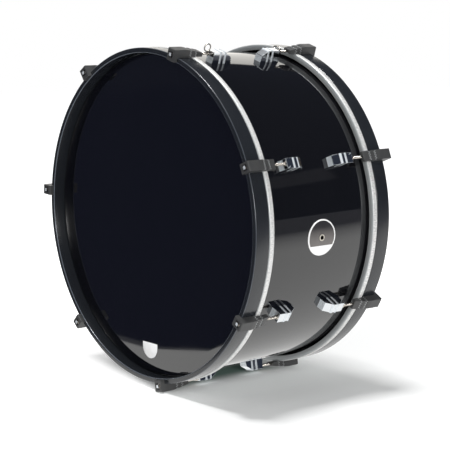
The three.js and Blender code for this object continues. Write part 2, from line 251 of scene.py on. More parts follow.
def turned(name, profile, segments=turned_segments):
    """A closed profile of (radius, along) points turned round the Y axis."""
    points = [(r * math.cos(a), along, r * math.sin(a))
              for a in angles_round(segments) for r, along in profile]
    count = len(profile)
    faces = [face for face in grid_faces(segments, count)
             if profile[face[0] % count][0] or profile[face[1] % count][0]]
    return mesh_from(name, points, faces)


def placed(name, data):
    """A new object in the scene, of a mesh, a lamp or a camera."""
    made = bpy.data.objects.new(name, data)
    bpy.context.scene.collection.objects.link(made)
    return made


def piece(name, mesh, body, finish):
    """A shown piece of the drum that moves with a body of the frame."""
    made = placed(name, mesh)
    if not mesh.materials:
        mesh.materials.append(finish.material)
    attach(made, body)
    return made


def carved(mesh, *tools):
    """The mesh after each (operation, other mesh) in turn. The other meshes are thrown away."""
    for operation, other in tools:
        pair = [placed("being_carved", shape) for shape in (mesh, other)]
        cut = pair[0].modifiers.new("cut", "BOOLEAN")
        cut.operation, cut.object, cut.solver = operation, pair[1], "EXACT"
        seen = pair[0].evaluated_get(bpy.context.evaluated_depsgraph_get())
        mesh = bpy.data.meshes.new_from_object(seen)
        for part in pair:
            bpy.data.objects.remove(part)
        bpy.data.meshes.remove(other)
    return mesh


bearing = [
    (shell_radius, shell_end, bearing_round),
    (shell_radius - bearing_round - bearing_land, shell_end),
    (shell_radius - shell_wall, shell_end - bearing_bevel),
]
tube = turned("shell", outline(*bearing, *[(c[0], -c[1], *c[2:]) for c in reversed(bearing)]))

lacquer = Finish("shell_lacquer", IOR=1.9)
across, _, up = lacquer.place().axes()
wrap_angle = up.maths("ARCTAN2", across)
past_seam = abs(wrap_angle - (seam_angle - math.tau)) * (shell_radius * MILLIMETRE)
in_seam = past_seam < seam_half * MILLIMETRE
handled = lacquer.noise(lacquer.place(), 7, 4)
lacquer.set(
    Base_Color=lacquer.mix(in_seam, shade(12, 12, 15), shade(3, 3, 4)),
    Roughness=0.03 + 0.05 * handled.between(0.4, 0.8),
)
lacquer.bump(lacquer.noise(lacquer.place(), 90) + seam_depth * in_seam, 0.002)

# The badge: a thin polished plate bent to the shell and held by the vent, with a white enamel rim
# and foot. The print of the real one is left off, and the plate between rim and foot is bare.
badge_angle = math.radians(-3.84)
badge_along = 4.9
badge_radius = 36.6
badge_rim = 2.9
badge_foot = 16.5
badge_thickness = 1.3
badge_bead = 0.1
badge_soft = 0.2
badge_drop = 0.6
badge_plate_steps = 6
badge_segments = 96


def on_shell(across_badge, up_badge, height):
    """A point of the badge: its place on the shell and its height over the wrap."""
    reach = math.sqrt((shell_radius + height) ** 2 - up_badge ** 2)
    cosine, sine = math.cos(badge_angle), math.sin(badge_angle)
    return (
        reach * cosine - up_badge * sine,
        badge_along + across_badge,
        reach * sine + up_badge * cosine,
    )


badge_inner = badge_radius - badge_rim
badge_rings = [
    (vent_bore, 0),
    (vent_bore, badge_thickness - badge_soft),
    (vent_bore + badge_soft, badge_thickness),
    *[(vent_bore + (badge_inner - vent_bore) * (step + 1) / badge_plate_steps, badge_thickness)
      for step in range(badge_plate_steps)],
    (badge_inner + badge_bead, badge_thickness + badge_bead),
    (badge_radius - badge_drop, badge_thickness + badge_bead),
    (badge_radius - badge_soft, badge_thickness - badge_bead),
    (badge_radius, badge_thickness - badge_drop),
    (badge_radius, 0),
]
flat_badge = bmesh.new()
corners = [flat_badge.verts.new((r * math.sin(a), r * math.cos(a), height))
           for a in angles_round(badge_segments) for r, height in badge_rings]
for face in grid_faces(badge_segments, len(badge_rings), closed_columns=False):
    flat_badge.faces.new([corners[i] for i in face])
bmesh.ops.bisect_plane(
    flat_badge, geom=[*flat_badge.verts, *flat_badge.edges, *flat_badge.faces],
    plane_co=(0, -badge_foot, 0), plane_no=(0, 1, 0))
for face in flat_badge.faces:
    middle = face.calc_center_median()
    on_rim = middle.xy.length > badge_inner - one_point
    face.material_index = int(on_rim or middle.y < -badge_foot)
for corner in flat_badge.verts:
    corner.co = Vector(on_shell(*corner.co)) * MILLIMETRE
bmesh.ops.recalc_face_normals(flat_badge, faces=flat_badge.faces)
badge_mesh = bpy.data.meshes.new("badge_plate")
flat_badge.to_mesh(badge_mesh)
flat_badge.free()
smoothed(badge_mesh)


def dressed(mesh, *finishes):
    """The mesh with its finishes, in the order of its faces' material numbers."""
    for finish in finishes:
        mesh.materials.append(finish.material)
    return mesh


plate = Finish("badge_plate", Metallic=1)
plate_brushing = plate.noise(plate.place(), 60, 3)
plate.mottle(plate_brushing, shade(122, 119, 118), shade(138, 134, 132), 0.07, 0.05)
enamel = Finish("badge_enamel", IOR=1.5, Coat_Weight=0.3)
enamel_flow = enamel.noise(enamel.place(), 180, 3)
enamel.mottle(enamel_flow, shade(236, 236, 235), shade(244, 244, 243), 0.22, 0.08)
enamel.bump(enamel_flow, 0.01)
dressed(badge_mesh, plate, enamel)
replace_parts(piece("badge_plate", badge_mesh, "drum", plate), "badge")

# The vent: a nickel-plated eyelet through badge and shell that lets air out of the drum.
# Its tube is rolled over outside and inside, which clamps the badge.
vent_flange = 6.8
vent_hole = 4.2
vent_barrel = 5.4
vent_lip = 0.9
vent_segments = 64
vent_outer = shell_radius + badge_thickness + 0.2
vent_inner = shell_radius - shell_wall - 0.6
hole_wall = 0.1
badge_turn = Matrix.Rotation(-badge_angle, 4, "Y")


def on_badge(mesh):
    """Turns a mesh made round the Y axis so that it stands out through the badge."""
    outwards = Matrix.Rotation(math.radians(-90), 4, "Z")
    mesh.transform(Matrix.Translation((0, badge_along * MILLIMETRE, 0)) @ badge_turn @ outwards)
    return mesh


bore = turned("vent_bore", [
    (vent_bore, vent_inner - shell_wall), (vent_bore, vent_outer + shell_wall),
    (0, vent_outer + shell_wall), (0, vent_inner - shell_wall)], vent_segments)
tube = smoothed(carved(tube, ("DIFFERENCE", on_badge(bore))))
tube.name = "shell"
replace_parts(piece("drum_shell", tube, "drum", lacquer), "shell")

eyelet = turned("vent_eyelet", outline(
    (vent_hole, vent_inner - vent_lip, 0.4),
    (vent_flange, vent_inner - vent_lip, 0.4),
    (vent_flange, vent_inner),
    (vent_barrel, vent_inner),
    (vent_barrel, vent_outer),
    (vent_flange, vent_outer),
    (vent_flange, vent_outer + vent_lip, 0.8),
    (vent_hole, vent_outer + vent_lip, 0.6),
), vent_segments)
for face in eyelet.polygons:
    face.material_index = int(face.center.xz.length > (vent_hole + hole_wall) * MILLIMETRE)

nickel = Finish("nickel_plate", Metallic=1)
plating = nickel.noise(nickel.place(), 400, 4)
nickel.mottle(plating, shade(197, 190, 181), shade(215, 209, 201), 0.16, 0.14)
nickel.bump(nickel.noise(nickel.place(), 2600), 0.01)
dull_nickel = Finish("dull_nickel", Metallic=0.5)
dull_plating = dull_nickel.noise(dull_nickel.place(), 400, 4)
dull_nickel.mottle(dull_plating, shade(200, 194, 182), shade(218, 212, 201), 0.36, 0.14)
dressed(on_badge(eyelet), nickel, dull_nickel)
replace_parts(piece("vent_roll", eyelet, "drum", nickel), "vent_eyelet")

# The lugs: chromed zinc blocks, seven near each head, each screwed to the shell from inside. Slats
# cross the foot of both ends, the crest falls to the inner end, and two round ribs go over the
# body. A swivel nut sits in the outer end and takes the tension rod.
stations = 7
first_station = math.radians(21.66)
lug_outer = 90
lug_inner = 40
lug_sunk = 0.3
lug_base = shell_radius - lug_sunk
lug_stair_top = 343.5
lug_top = 353.8
lug_half_base = 9.9
lug_half_top = 10.3
lug_crest_run = 17
lug_steps = 3
lug_step_run = 0.8
lug_slat_lean = 0.5
lug_slat_depth = 1.9
lug_slat_gap = 0.9
lug_slat_reach = 2.5
lug_ribs = (70, 58)
rib_width = 5
rib_proud = 1.25
rib_side = 0.4
rib_steps = 12
rib_sunk = 0.05
lug_edge = 0.35
lug_round = 1
lug_blank = 12
rod_axis = 349
rod_thread = 2.8
rod_tip = 66
bore_gap = 0.6
bore_depth = 4
nut_radius = 4.6
nut_waist = 3.4
nut_proud = 1.2
nut_length = 6
nut_seat = 0.2
nut_gap = 0.15
bore_segments = 32
nut_segments = 48
overrun = 1
lug_face = lug_outer - lug_steps * lug_step_run
lug_crest_inner = lug_inner + lug_steps * lug_step_run
ends = (("front", -1), ("rear", 1))


def pushed(name, profile, low, high, across=True):
    """A profile of (along, height) points pushed across X, or (across, height) along Y."""
    points = [(s, u, v) if across else (u, s, v) for s in (low, high) for u, v in profile]
    count = len(profile)
    caps = tuple(range(count)), tuple(range(count, 2 * count))
    return mesh_from(name, points, [*caps, *grid_faces(2, count, closed_rows=False)])


def edged(mesh, width, segments=3, finish=-1):
    """The mesh with its sharp edges rounded. The roundings take the finish of this number."""
    mesh.shade_smooth()
    part = placed("being_edged", mesh)
    bevel = part.modifiers.new("edges", "BEVEL")
    bevel.width, bevel.segments, bevel.angle_limit = width * MILLIMETRE, segments, math.radians(35)
    bevel.use_clamp_overlap, bevel.material = True, finish
    part.modifiers.new("facing", "WEIGHTED_NORMAL").keep_sharp = True
    seen = part.evaluated_get(bpy.context.evaluated_depsgraph_get())
    rounded = bpy.data.meshes.new_from_object(seen)
    bpy.data.objects.remove(part)
    return rounded


def on_rod_axis(mesh, lean=0):
    """Lifts a mesh made round the Y axis to the rods' axis, after leaning it over."""
    lifted = Matrix.Translation((0, 0, rod_axis * MILLIMETRE))
    mesh.transform(lifted @ Matrix.Rotation(lean, 4, "Y"))
    return mesh


def at_station(made, station, end):
    """Turns a piece made at the top of the rear end to its station on either end of the drum."""
    angle = first_station + station * math.tau / stations
    outward, endward = Vector((math.cos(angle), 0, math.sin(angle))), Vector((0, end, 0))
    turn = Matrix((endward.cross(outward), endward, outward)).transposed()
    made.matrix_world = made.parent.matrix_world @ turn.to_4x4()
    return made


def crest_at(place):
    """Height of the lug's crest over a place along it."""
    fall = max(0, lug_crest_inner + lug_crest_run - place) / lug_crest_run
    return lug_top - (lug_top - lug_stair_top) * fall


def lug_section(margin, top):
    """The lug's cross-section up to a top, grown by a margin but for its base."""
    side = [(lug_half_base + margin, lug_base), (lug_half_top + margin, top + margin)]
    return [*side, *[(-x, z) for x, z in reversed(side)]]


def slats(end, inwards):
    """The slats at the foot of one end, from the shell up, with a groove over each."""
    rise = (lug_stair_top - lug_base) / lug_steps
    points = []
    for step in range(lug_steps):
        start, height = end + inwards * step * lug_step_run, lug_base + step * rise
        top, depth = height + rise - lug_slat_gap, start + inwards * lug_slat_depth
        leaning = start + inwards * lug_slat_lean
        points += [(start, height), (leaning, top), (depth, top), (depth, height + rise)]
    return points


lug_side = [
    *slats(lug_outer, -1), (lug_face, lug_stair_top), (lug_face, lug_top),
    (lug_crest_inner + lug_crest_run, lug_top), (lug_crest_inner, lug_stair_top),
    *reversed(slats(lug_inner, 1)),
]
bore_end = rod_tip - bore_depth
bore_radius = rod_thread + bore_gap
swivel_bore = on_rod_axis(turned("swivel_bore", [
    (bore_radius, bore_end), (bore_radius, lug_outer), (0, lug_outer), (0, bore_end)],
    bore_segments))
lug_sides = pushed(
    "lug_sides", lug_section(0, lug_top), lug_inner - overrun, lug_outer + overrun, False)
lug_block = carved(
    pushed("lug", lug_side, -lug_blank, lug_blank), ("INTERSECT", lug_sides),
    ("DIFFERENCE", swivel_bore))


def rounded(mesh, width, chosen, steps=4):
    """The mesh with its chosen edges rounded widely: chosen() is told an edge's two ends."""
    shape = bmesh.new()
    shape.from_mesh(mesh)
    edges = [edge for edge in shape.edges
             if chosen(*[corner.co / MILLIMETRE for corner in edge.verts])]
    roundings = bmesh.ops.bevel(
        shape, geom=edges, offset=width * MILLIMETRE, segments=steps, profile=0.5,
        affect="EDGES", clamp_overlap=True)
    # The roundings take the second finish, the painted highlight.
    for face in roundings["faces"]:
        face.material_index = 1
    shape.to_mesh(mesh)
    shape.free()
    return mesh


def crest_or_corner(a, b):
    """Whether an edge of the lug lies on its crest or stands at a corner, and not at the bore."""
    on_crest = min(a.z, b.z) > lug_stair_top - 0.1
    upright = abs(a.z - b.z) > 3 and abs(a.y - b.y) < 0.1
    return math.hypot(a.x, a.z - rod_axis) > nut_radius and (on_crest or upright)


lug_casting = rounded(lug_block, lug_round, crest_or_corner)


def rib(middle):
    """A half-round rib over the lug: its cross-section swells and shrinks along a short stretch."""
    points = []
    for turn in [math.pi * step / rib_steps for step in range(rib_steps + 1)]:
        place = middle - rib_width / 2 * math.cos(turn)
        rise = math.sin(turn)
        top = crest_at(place) + (rib_proud - rib_side) * rise
        points += [(x, place, z) for x, z in lug_section(rib_side * rise - rib_sunk, top)]
    caps = (0, 1, 2, 3), tuple(range(len(points) - 4, len(points)))
    sides = grid_faces(rib_steps + 1, 4, closed_rows=False)
    made = mesh_from("rib", points, [*caps, *sides], 50)
    # The whole rib takes the second finish, the painted highlight.
    for face in made.polygons:
        face.material_index = 1
    return made


def together(name, *meshes):
    """Several meshes of one piece as one mesh."""
    whole = bmesh.new()
    for mesh in meshes:
        whole.from_mesh(mesh)
    joined = bpy.data.meshes.new(name)
    whole.to_mesh(joined)
    whole.free()
    return joined


lug_mesh = edged(
    together("lug", lug_casting, *[rib(middle) for middle in lug_ribs]), lug_edge, finish=1)
lug_mesh.name = "lug"
lug_middle = (lug_outer + lug_inner) / 2 * MILLIMETRE
slats_from_middle = ((lug_outer - lug_inner) / 2 - lug_slat_reach) * MILLIMETRE
# The slatted ends below the crest also take the painted highlight finish.
for face in lug_mesh.polygons:
    below_crest = face.center.z < lug_stair_top * MILLIMETRE
    if below_crest and abs(face.center.y - lug_middle) > slats_from_middle:
        face.material_index = 1
nut_mesh = on_rod_axis(turned("swivel_nut", outline(
    (rod_thread + nut_gap, lug_face - nut_length),
    (nut_waist, lug_face - nut_length),
    (nut_waist, lug_face - nut_seat),
    (nut_radius, lug_face - nut_seat),
    (nut_radius, lug_outer + nut_proud, 0.5),
    (rod_thread + nut_gap, lug_outer + nut_proud, 0.3)), nut_segments))

chrome = Finish("chrome_plate", Metallic=1)
smear = chrome.noise(chrome.place(), 35, 5)
chrome.set(
    Base_Color=chrome.mix(smear, shade(226, 231, 236), shade(240, 242, 244)),
    Roughness=0.035 + 0.06 * smear.between(0.45, 0.75),
)
chrome.bump(chrome.noise(chrome.place(), 160), 0.01)
# A second chrome, pale and half diffuse, is painted highlight: it goes on the lugs' rounded edges,
# ribs and slatted ends, and on the rods' key tops, so that they read bright.
highlight_chrome = Finish("chrome_painted_highlight", Metallic=0.5)
highlight_mottle = highlight_chrome.noise(highlight_chrome.place(), 900, 3)
highlight_chrome.mottle(highlight_mottle, shade(206, 214, 220), shade(236, 240, 243), 0.26, 0.14)
highlight_chrome.bump(highlight_mottle, 0.01)
dressed(lug_mesh, chrome, highlight_chrome)

for end_name, end in ends:
    for station in range(stations):
        tag = f"{end_name}_{station + 1}"
        lug = piece(f"lug_casting_{tag}", lug_mesh, "drum", chrome)
        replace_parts(at_station(lug, station, end), f"{end_name}_lug_{station + 1}")
        at_station(piece(f"swivel_nut_{tag}", nut_mesh, "drum", nickel), station, end)

# The heads: glossy black polyester film, drawn over the bearing edge and glued at its flange
# into a bright aluminium flesh hoop. The film is a flat disc with a rolled collar.
gap = 0.3
film_thickness = 0.5
film_inner = shell_end + gap
film_face = film_inner + film_thickness
film_collar = 332.1
film_collar_round = 1.6
film_collar_end = 143.5
film_flange = 3.6
film_rings = (film_collar - 25, film_collar * 0.6, film_collar * 0.2, 0)
hoop_proud = 26.65
hoop_depth = 34
hoop_front = film_face + hoop_proud
hoop_back = hoop_front - hoop_depth
flesh_depth = 13
flesh_front = hoop_back - gap
flesh_back = flesh_front - flesh_depth
flesh_inner = 334
flesh_outer = 346
flesh_lip = 1.5
flesh_groove = flesh_front - flesh_lip
flesh_groove_width = 2.6
flesh_groove_end = flesh_inner + 3.4
back_shade_reach = 6

film_profile = [
    (0, film_inner),
    *arc_corner(
        (0, film_inner), (film_collar, film_inner), (film_collar, film_collar_end),
        film_collar_round),
    (film_collar, film_collar_end),
    (film_collar + film_flange, film_collar_end - film_collar_round),
    (film_collar + film_flange, film_collar_end - film_collar_round + film_thickness),
    (film_collar + film_thickness, film_collar_end + film_thickness),
    *arc_corner(
        (film_collar + film_thickness, film_collar_end), (film_collar + film_thickness, film_face),
        (0, film_face), film_collar_round + film_thickness),
    *[(ring, film_face) for ring in film_rings],
]
flesh_profile = outline(
    (flesh_inner, flesh_back, 0.6),
    (flesh_outer, flesh_back, 3.4),
    (flesh_outer, flesh_front, 3.4),
    (flesh_inner, flesh_front, 0.6),
    (flesh_inner, flesh_groove),
    (flesh_groove_end, flesh_groove),
    (flesh_groove_end, flesh_groove - flesh_groove_width),
    (flesh_inner, flesh_groove - flesh_groove_width),
)

film = Finish("head_film", IOR=2.0)
haze = film.noise(film.place(), 11, 5)
film.set(
    Base_Color=film.mix(haze, shade(4, 4, 9), shade(7, 7, 12)),
    Roughness=0.045 + 0.03 * haze.between(0.4, 0.7),
)
film.bump(film.noise(film.place(), 25), 0.003)

rim_metal = Finish("flesh_hoop_aluminium")
across, along, up = rim_metal.place().axes()
radius = (across * across + up * up) ** 0.5
rim_angle = up.maths("ARCTAN2", across)
streaks = rim_metal.noise(rim_metal.vector(radius * 2600, along * 2600, rim_angle * 9), 1, 3)
cross_streaks = rim_metal.noise(rim_metal.vector(along * 160, rim_angle * 150, 0), 1, 2)
turning_marks = (streaks + cross_streaks.between(0.3, 0.7)) / 2
polished = rim_metal.mix(turning_marks, shade(176, 178, 179), shade(252, 251, 248))
# Painted shade: the rim is drawn darker towards its rounded front and back edges, where they turn
# away from the light.
from_rim_middle = abs(abs(along) - (flesh_front + flesh_back) / 2 * MILLIMETRE)
painted_edge_shade = from_rim_middle.between(3.6 * MILLIMETRE, 6.4 * MILLIMETRE)
metal_with_edge_shade = rim_metal.mix(painted_edge_shade, polished, shade(168, 172, 173))
# Painted shade: the back face is drawn a little darker and browner near its inner edge, where it
# lies in shade between rim and shell.
at_back = abs(along) < (flesh_back + 0.6) * MILLIMETRE
painted_back_shade = 0.2 * at_back * (radius < (flesh_inner + back_shade_reach) * MILLIMETRE)
rim_metal.set(
    Base_Color=rim_metal.mix(painted_back_shade, metal_with_edge_shade, shade(60, 50, 42)),
    Roughness=0.36 + 0.16 * streaks,
    Metallic=0.5 - 0.3 * streaks,
)
rim_metal.bump(streaks, 0.02)


def facing(profile, end):
    """The profile for one end of the drum."""
    return [(r, end * y) for r, y in profile]


for end_name, end in ends:
    film_mesh = turned(f"{end_name}_film", facing(film_profile, end))
    shown_film = piece(f"film_{end_name}", film_mesh, "drum", film)
    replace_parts(shown_film, f"{end_name}_head_film")
    rim_mesh = turned(f"{end_name}_rim", facing(flesh_profile, end))
    shown_rim = piece(f"rim_{end_name}", rim_mesh, "drum", rim_metal)
    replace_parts(shown_rim, f"{end_name}_flesh_hoop")

# The label: a plain white sticker with a round foot, low on the front head. It is thin vinyl,
# cut to shape and pressed on by hand, so its edge is soft and its face not quite flat.
label_width = 49
label_top = -271.3
label_height = 33
label_straight = 8.5
label_across = -20.5
label_thickness = 0.5
label_back = -film_face - 0.05
label_face = -film_face - gap - label_thickness
label_edge = 0.15
label_steps = 28
label_half = label_width / 2
label_drop = label_height - label_straight
label_outline = [
    (label_half, -label_straight), (label_half, 0),
    (-label_half, 0), (-label_half, -label_straight),
    *[(-label_half * math.cos(a), -label_straight - label_drop * math.sin(a))
      for a in [math.pi * step / label_steps for step in range(1, label_steps)]],
]
label_placed = [(label_across + x, label_top + z) for x, z in label_outline]
label_mesh = edged(pushed("label", label_placed, label_face, label_back, False), label_edge, 2)
vinyl = Finish("label_vinyl", IOR=1.45)
vinyl_grain = vinyl.noise(vinyl.place(), 220, 4)
vinyl.mottle(vinyl_grain, shade(238, 239, 240), shade(248, 248, 248), 0.34, 0.12)
vinyl.bump(vinyl.noise(vinyl.place(), 40), 0.05)
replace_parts(piece("label_plain", smoothed(label_mesh), "drum", vinyl), "head_label")

# The counter hoops: wide hoops bent from plies of maple, their edges rounded over, sprayed in
# satin black with a slight orange peel. The claws pull them on to the flesh hoops.
hoop_outer = 345
hoop_inner = 334.5
hoop_round = 1.6
hoop_profile = outline(
    (hoop_inner, hoop_back, 0.8),
    (hoop_outer, hoop_back, hoop_round),
    (hoop_outer, hoop_front, hoop_round),
    (hoop_inner, hoop_front, hoop_round),
)
satin = Finish("hoop_satin_black", IOR=1.7)
peel = satin.noise(satin.place(), 420, 3)
worn = satin.noise(satin.place(), 16, 5)
across, along, up = satin.place().axes()
radius = (across * across + up * up) ** 0.5
# Painted highlight: the hoop's front inner and outer edges are drawn paler, as bright lines along
# them.
edge_highlight_width = 0.8 * hoop_round
inner_edge = radius < (hoop_inner + edge_highlight_width) * MILLIMETRE
outer_edge = 0.4 * (radius > (hoop_outer - edge_highlight_width) * MILLIMETRE)
painted_edge_highlight = (abs(along) > (hoop_front - hoop_round) * MILLIMETRE) * (inner_edge + outer_edge)
satin_tone = satin.mix(worn, shade(27, 29, 33), shade(35, 38, 42))
satin.set(
    Base_Color=satin.mix(painted_edge_highlight * (0.6 + 0.4 * worn), satin_tone, shade(96, 102, 110)),
    Roughness=0.16 + 0.1 * worn,
)
satin.bump(peel, 0.06)
for end_name, end in ends:
    hoop_mesh = turned(f"{end_name}_counter_hoop", facing(hoop_profile, end))
    hoop = piece(f"counter_hoop_{end_name}", hoop_mesh, "drum", satin)
    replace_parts(hoop, f"{end_name}_hoop")

# The claws: cast zinc hooks under dark powder coat, one to a rod. The lip lies over the hoop's
# front edge, the arm carries the rod in a channel underneath, and two bands are knurled zigzag.
claw_width = 20.5
claw_front = 190.45
claw_length = 72
claw_top = 361
claw_shoulder = 160.45
claw_waist = 136.45
claw_waist_top = 357.5
claw_end_top = 354.3
claw_under = 344.9
claw_under_flesh = 345.9
claw_lip_back = hoop_front + gap
claw_lip_inner = 335.35
claw_channel = 3.5
claw_recess = 6.2
claw_recess_depth = 5
claw_bands = (148.45, 134.95)
claw_band_width = 6
claw_band_depth = 0.6
zigzag_period = 5
zigzag_height = 4.8
zigzag_line = 1.5
claw_edge = 0.6
claw_end = claw_front - claw_length
cut_from = claw_under - 2
cut_to = claw_top + 4
claw_side = outline(
    (claw_front, claw_lip_inner, 2.2),
    (claw_front, claw_top, 2.6),
    (claw_shoulder, claw_top, 8),
    (claw_waist, claw_waist_top, 8),
    (claw_end, claw_end_top, 2),
    (claw_end, claw_under_flesh, 0.6),
    (hoop_back, claw_under_flesh),
    (hoop_back, claw_under),
    (claw_lip_back, claw_under, 0.5),
    (claw_lip_back, claw_lip_inner, 1.2),
)


def claw_top_at(place):
    """Height of the claw's outer face over a place along it."""
    if place > claw_shoulder:
        return claw_top
    if place > claw_waist:
        climb = (place - claw_waist) / (claw_shoulder - claw_waist)
        return claw_waist_top + (claw_top - claw_waist_top) * climb
    climb = (place - claw_end) / (claw_waist - claw_end)
    return claw_end_top + (claw_waist_top - claw_end_top) * climb


square_corners = ((-1, -1), (1, -1), (1, 1), (-1, 1))


def rounded_square(half, radius, height=0):
    """The outline of a square with rounded corners, with its middle at a height."""
    return outline(*[(sx * half, height + sz * half, radius) for sx, sz in square_corners])


hole_start, hole_end = claw_lip_back - 2, claw_front + overrun
rod_hole = on_rod_axis(turned("rod_hole", [
    (claw_channel, hole_start), (claw_channel, hole_end), (0, hole_end), (0, hole_start)],
    bore_segments))
channel_top = rod_axis + claw_channel
channel = outline(
    (-claw_channel, cut_from), (claw_channel, cut_from),
    (claw_channel, channel_top, 3), (-claw_channel, channel_top, 3))
recess = rounded_square(claw_recess, 1.6, rod_axis)
recess_floor = claw_front - claw_recess_depth
half_claw = claw_width / 2
band_cuts = []
for middle in claw_bands:
    start, stop = middle - claw_band_width / 2, middle + claw_band_width / 2
    floor_start, floor_stop = (claw_top_at(place) - claw_band_depth for place in (start, stop))
    over_top = [(start, floor_start), (stop, floor_stop), (stop, cut_to), (start, cut_to)]
    band_cuts.append(pushed("band", over_top, -half_claw - overrun, half_claw + overrun))
    whole_side = [(start, cut_from), (stop, cut_from), (stop, cut_to), (start, cut_to)]
    for side in (-half_claw, half_claw):
        band_cuts.append(pushed(
            "band", whole_side, side - claw_band_depth, side + claw_band_depth))
claw_casting = carved(
    pushed("claw", claw_side, -half_claw, half_claw),
    ("DIFFERENCE", pushed("channel", channel, claw_end - overrun, claw_lip_back, False)),
    ("DIFFERENCE", pushed("recess", recess, recess_floor, claw_front + overrun, False)),
    ("DIFFERENCE", rod_hole),
    *[("DIFFERENCE", cut) for cut in band_cuts],
)
claw_mesh = edged(claw_casting, claw_edge, finish=1)
claw_mesh.name = "claw"

powder = Finish("claw_powder_coat", IOR=1.55)
across, along, up = powder.place().axes()
in_band = sum(
    abs(along - middle * MILLIMETRE) < claw_band_width / 2 * MILLIMETRE for middle in claw_bands)
round_the_claw = (across + up) / (zigzag_period * MILLIMETRE)
zigzag = abs(round_the_claw.maths("FRACT") - 0.5) * (2 * zigzag_height * MILLIMETRE)
line_edge = 0.4 * zigzag_line * MILLIMETRE, 0.6 * zigzag_line * MILLIMETRE
ridge = sum(
    1 - abs(along - (middle - zigzag_height / 2) * MILLIMETRE - zigzag).between(*line_edge)
    for middle in claw_bands)
grain = powder.noise(powder.place(), 1500, 2)
dust = powder.noise(powder.place(), 70, 4)
# The zigzag ridges in the knurled bands are drawn pale and half metallic.
pale_ridge = in_band * ridge
dusty = powder.mix(dust, shade(52, 53, 54), shade(64, 64, 64))
powder.set(
    Base_Color=powder.mix(pale_ridge, dusty, shade(190, 193, 194)),
    Roughness=0.38 + 0.12 * dust,
    Metallic=0.5 * pale_ridge,
)
powder.bump(grain * 0.12 + pale_ridge, 0.35)
# Painted highlight: the claws' rounded edges take a paler powder, so bright lines run along them.
claw_edge_highlight = Finish("claw_edge_painted_highlight", IOR=1.55)
edge_highlight_mottle = claw_edge_highlight.noise(claw_edge_highlight.place(), 300, 3)
claw_edge_highlight.mottle(edge_highlight_mottle, shade(104, 106, 107), shade(138, 140, 141), 0.3, 0.12)
claw_edge_highlight.bump(edge_highlight_mottle, 0.02)
dressed(claw_mesh, powder, claw_edge_highlight)
for end_name, end in ends:
    for station in range(stations):
        tag, body = f"{end_name}_{station + 1}", f"{end_name}_claw_{station + 1}"
        claw = piece(f"claw_casting_{tag}", claw_mesh, body, powder)
        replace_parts(at_station(claw, station, end), body)

# The tension rods: nickel-plated steel, a thinner shank and a rolled thread of 24 to the inch that
# runs into the lug. Each has a square head for the drum key, a collar, and a loose steel washer.
rod_shank = 2.4
thread_shown = 84
thread_end = 114
thread_pitch = 25.4 / 24
thread_depth = 0.45
thread_sides = 20
thread_rows = 6
washer_seat = 185.75
washer_thickness = 1.2
washer_top = washer_seat + washer_thickness
washer_radius = 5.7
collar_radius = 4.6
collar_height = 1.8
collar_top = washer_top + collar_height
key_foot = washer_top + 0.5
key_height = 3.8
key_top = collar_top + key_height
key_half = 3.15
key_edge = 1.1
key_face = 0.35


def thread_radius(turn, place):
    """The thread's radius where it has turned so far and lies so far along the rod."""
    phase = (place / thread_pitch - turn / math.tau) % 1
    fade = min(1, (thread_end - place) / thread_pitch)
    return rod_thread - thread_depth * abs(2 * phase - 1) * max(0, fade)


thread_length = thread_end - thread_shown
thread_steps = round(thread_length / thread_pitch * thread_rows)
thread_points = [
    (thread_radius(a, y) * math.cos(a), y, -thread_radius(a, y) * math.sin(a))
    for y in [thread_shown + thread_length * i / thread_steps for i in range(thread_steps + 1)]
    for a in angles_round(thread_sides)
]
thread_faces = grid_faces(thread_steps + 1, thread_sides, closed_rows=False)
rod_mesh = on_rod_axis(together(
    "tension_rod",
    mesh_from("thread", thread_points, thread_faces, 80),
    turned("shank", outline(
        (0, rod_tip),
        (rod_shank, rod_tip, 0.6),
        (rod_shank, thread_shown),
        (rod_shank, thread_end),
        (rod_shank, washer_top),
        (collar_radius, washer_top, 0.3),
        (collar_radius, collar_top, 0.7),
        (0, collar_top)), bore_segments),
    edged(pushed("key", rounded_square(key_half, 0.5), key_foot, key_top, False), key_edge, 5),
))
dressed(smoothed(rod_mesh, 50), nickel, highlight_chrome)
# The key's top face takes the painted highlight finish, which gives it a bright dot.
for face in rod_mesh.polygons:
    face.material_index = int(face.center.y > (key_top - key_face) * MILLIMETRE)
washer_mesh = on_rod_axis(turned("washer", outline(
    (rod_shank + nut_gap, washer_seat, 0.2),
    (washer_radius, washer_seat, 0.3),
    (washer_radius, washer_top, 0.4),
    (rod_shank + nut_gap, washer_top, 0.2)), nut_segments))

for end_name, end in ends:
    for station in range(stations):
        tag, body = f"{end_name}_{station + 1}", f"{end_name}_rod_{station + 1}"
        rod = piece(f"rod_{tag}", rod_mesh, body, nickel)
        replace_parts(at_station(rod, station, end), f"{end_name}_tension_rod_{station + 1}")
        at_station(piece(f"washer_{tag}", washer_mesh, body, nickel), station, end)

